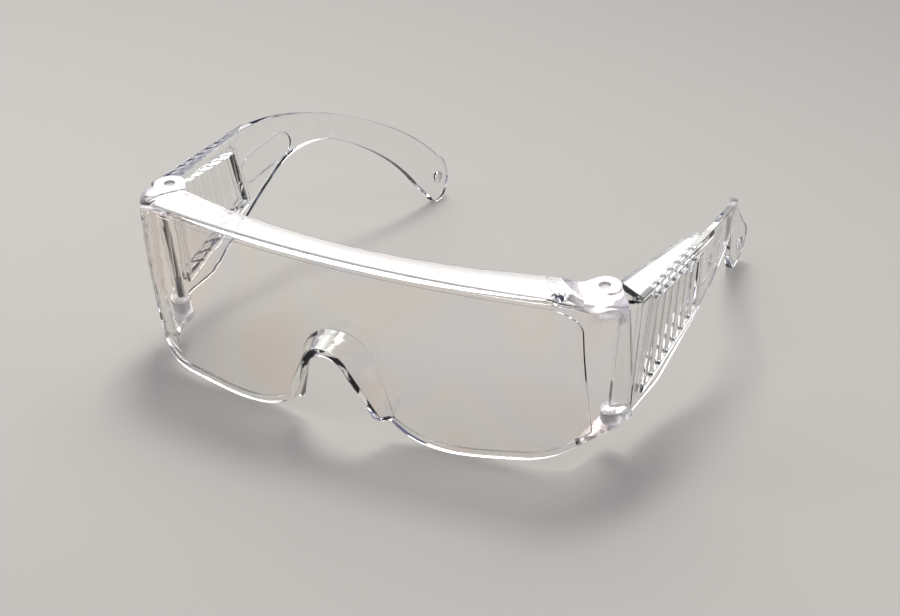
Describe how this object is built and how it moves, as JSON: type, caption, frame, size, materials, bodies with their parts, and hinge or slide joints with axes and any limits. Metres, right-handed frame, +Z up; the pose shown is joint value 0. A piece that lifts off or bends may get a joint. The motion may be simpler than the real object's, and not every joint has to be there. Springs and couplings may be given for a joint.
{
  "type": "safety glasses",
  "caption": "Clear wrap-round over-spectacles with a moulded nose bridge, brow guard and folding louvred temples.",
  "frame": {"origin": "centre of the bounding box's bottom face, on the surface that the lens's bottom edge and the two temple tips rest on", "axes": "+Z up; +Y from the lens towards the temple tips, so the lens faces -Y; +X to the side, square to the plane of symmetry"},
  "size_m": [0.1538, 0.1608, 0.054],
  "materials": {
    "clear_lens": "polished clear polycarbonate",
    "clear_temple": "glossy clear polycarbonate",
    "clear_pin": "glossy clear polycarbonate"
  },
  "bodies": {
    "front": {"lens_front": "clear_lens"},
    "left_temple": {"temple_left": "clear_temple", "hinge_pin_upper_left": "clear_pin", "hinge_pin_lower_left": "clear_pin"},
    "right_temple": {"temple_right": "clear_temple", "hinge_pin_upper_right": "clear_pin", "hinge_pin_lower_right": "clear_pin"}
  },
  "joints": [
    {"name": "fold_right", "type": "hinge", "parent": "front", "child": "right_temple", "pos_m": [0.0671, -0.04796, 0.02696], "axis": [0, -0.1054, 0.9944], "range_deg": [0, 88]},
    {"name": "fold_left", "type": "hinge", "parent": "front", "child": "left_temple", "pos_m": [-0.0671, -0.04796, 0.02696], "axis": [0, 0.1054, -0.9944], "range_deg": [0, 76]}
  ]
}
